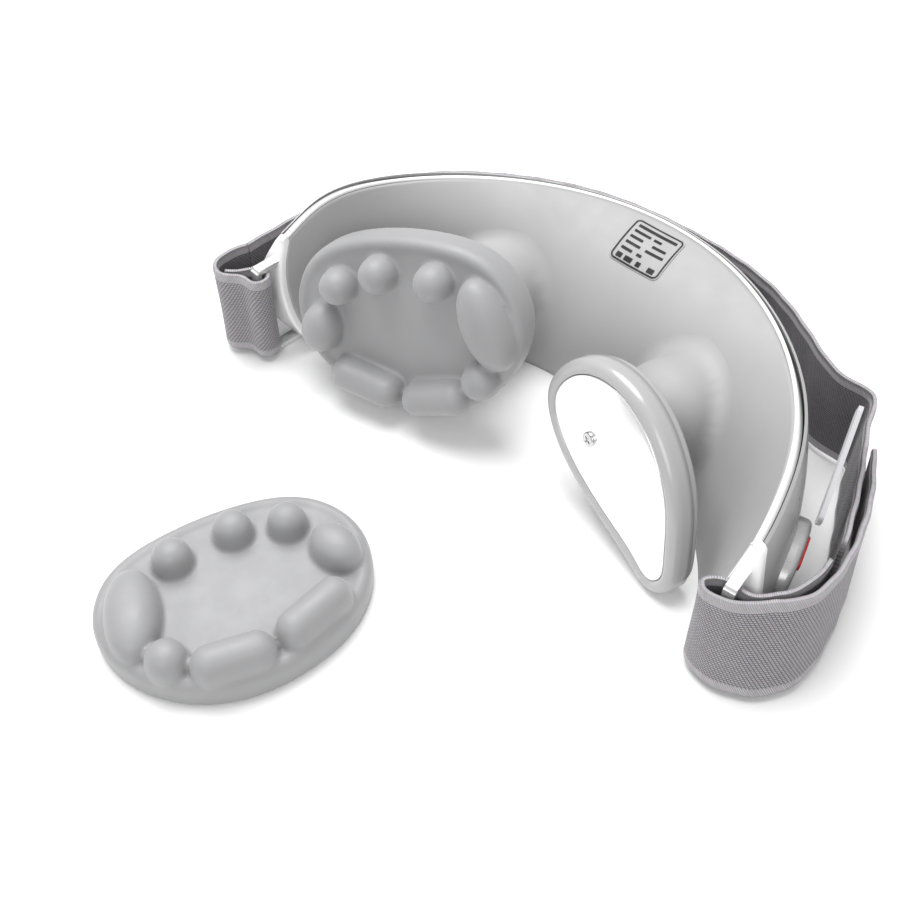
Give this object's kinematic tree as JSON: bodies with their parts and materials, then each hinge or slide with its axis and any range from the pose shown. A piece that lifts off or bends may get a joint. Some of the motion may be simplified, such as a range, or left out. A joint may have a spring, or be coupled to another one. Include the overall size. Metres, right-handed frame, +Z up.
{
  "type": "neck massager",
  "caption": "C-shaped neck massager with ball-jointed electrode heads, slip-on silicone finger pads, and an elastic strap on metal rings.",
  "frame": {"origin": "middle of the casing's bottom edge at the back, on the surface it stands on", "axes": "+Z up, the C opens towards -Y, +X towards the arm with the control panel"},
  "size_m": [0.2168, 0.2213, 0.0616],
  "materials": {
    "cover_grey": "satin",
    "shell_grey": "satin",
    "trim_white": "gloss",
    "label_film": "printed film with bars only",
    "black_plastic": "matt",
    "circuit_board": "solder resist",
    "battery_foil": "foil pouch",
    "steel": "plated",
    "panel_silver": "silver satin",
    "slider_red": "gloss",
    "button_grey": "matt",
    "pad_silicone": "matt silicone",
    "boot_rubber": "matt",
    "head_plastic": "gloss",
    "electrode_mirror": "polished",
    "screw_chrome": "polished",
    "ring_chrome": "polished",
    "joint_plastic": "matt",
    "tab_fabric": "satin hook tape",
    "strap_webbing": "woven elastic"
  },
  "bodies": {
    "casing": {"battery": "battery_foil", "button_board": "circuit_board", "casing_screws": "steel", "charging_port": "black_plastic", "control_panel": "panel_silver", "inner_cover": "cover_grey", "left_ball_socket": "joint_plastic", "left_ring_bracket": "joint_plastic", "left_socket_retainer": "joint_plastic", "main_pcb": "circuit_board", "outer_shell": "shell_grey", "rating_label": "label_film", "right_ball_socket": "joint_plastic", "right_ring_bracket": "joint_plastic", "right_socket_retainer": "joint_plastic", "right_strap_loop": "strap_webbing", "strap_back_run": "strap_webbing", "strap_tab": "tab_fabric", "trim_band": "trim_white"},
    "left_liner": {"left_ball_liner": "joint_plastic"},
    "left_stud": {"left_ball_stud": "joint_plastic", "left_stud_clip": "steel", "left_neck_boot": "boot_rubber"},
    "left_head": {"left_head_base": "head_plastic", "left_head_bezel": "head_plastic", "left_electrode_plate": "electrode_mirror", "left_electrode_screw": "screw_chrome", "left_screw_nut": "steel", "left_vibration_motor": "steel"},
    "left_weight": {"left_motor_weight": "steel"},
    "right_liner": {"right_ball_liner": "joint_plastic"},
    "right_stud": {"right_ball_stud": "joint_plastic", "right_stud_clip": "steel", "right_neck_boot": "boot_rubber"},
    "right_head": {"right_head_base": "head_plastic", "right_head_bezel": "head_plastic", "right_electrode_plate": "electrode_mirror", "right_electrode_screw": "screw_chrome", "right_screw_nut": "steel", "right_vibration_motor": "steel"},
    "right_weight": {"right_motor_weight": "steel"},
    "left_pad": {"left_finger_pad": "pad_silicone"},
    "right_pad": {"right_finger_pad": "pad_silicone"},
    "slider": {"power_slider": "slider_red"},
    "plus_button": {"plus_button": "button_grey"},
    "minus_button": {"minus_button": "button_grey"},
    "left_ring": {"left_strap_ring": "ring_chrome", "left_strap_loop": "strap_webbing"},
    "right_ring": {"right_strap_ring": "ring_chrome"}
  },
  "joints": [
    {"name": "left_nod", "type": "hinge", "parent": "casing", "child": "left_liner", "pos_m": [-0.0356, -0.0074, 0.0228], "axis": [0.9553, 0.2716, 0.117], "range_deg": [-5, 6]},
    {"name": "left_tilt", "type": "hinge", "parent": "left_liner", "child": "left_stud", "pos_m": [-0.0356, -0.0074, 0.0228], "axis": [-0.1852, 0.2411, 0.9527], "range_deg": [-1, 8]},
    {"name": "left_twist", "type": "hinge", "parent": "left_stud", "child": "left_head", "pos_m": [-0.0356, -0.0074, 0.0228], "axis": [0.2306, -0.9317, 0.2807], "range_deg": [-4, 5]},
    {"name": "left_motor_spin", "type": "hinge", "parent": "left_head", "child": "left_weight", "pos_m": [-0.06067, -0.03828, 0.02994], "axis": [0.9553, 0.2716, 0.117], "continuous": true},
    {"name": "right_nod", "type": "hinge", "parent": "casing", "child": "right_liner", "pos_m": [0.0356, -0.0074, 0.0228], "axis": [-0.8358, 0.3002, 0.4597], "range_deg": [-2, 8]},
    {"name": "right_tilt", "type": "hinge", "parent": "right_liner", "child": "right_stud", "pos_m": [0.0356, -0.0074, 0.0228], "axis": [-0.4984, -0.0636, -0.8646], "range_deg": [-1.5, 8]},
    {"name": "right_twist", "type": "hinge", "parent": "right_stud", "child": "right_head", "pos_m": [0.0356, -0.0074, 0.0228], "axis": [-0.2303, -0.9518, 0.2028], "range_deg": [-6, 10]},
    {"name": "right_motor_spin", "type": "hinge", "parent": "right_head", "child": "right_weight", "pos_m": [0.05817, -0.04039, 0.01685], "axis": [-0.8358, 0.3002, 0.4597], "continuous": true},
    {"name": "left_pad_pull_off", "type": "slide", "parent": "left_head", "child": "left_pad", "axis": [0.2306, -0.9317, 0.2807], "range_m": [0, 0.02]},
    {"name": "right_pad_lift", "type": "slide", "parent": "casing", "child": "right_pad", "axis": [0, 0, 1], "range_m": [0, 0.03]},
    {"name": "power_slide", "type": "slide", "parent": "casing", "child": "slider", "axis": [0.2768, -0.9609, 0], "range_m": [-0.0018, 0.0018]},
    {"name": "plus_press", "type": "slide", "parent": "casing", "child": "plus_button", "axis": [-0.9571, -0.2757, 0.089], "range_m": [0, 0.0008], "stiffness_N_per_m": 300},
    {"name": "minus_press", "type": "slide", "parent": "casing", "child": "minus_button", "axis": [-0.9571, -0.2757, 0.089], "range_m": [0, 0.0008], "stiffness_N_per_m": 300},
    {"name": "left_ring_swing", "type": "hinge", "parent": "casing", "child": "left_ring", "pos_m": [-0.08729, -0.04253, 0], "axis": [0, 0, 1], "range_deg": [-6, 6]},
    {"name": "right_ring_swing", "type": "hinge", "parent": "casing", "child": "right_ring", "pos_m": [0.08729, -0.04253, 0], "axis": [0, 0, 1], "range_deg": [-6, 6]}
  ]
}
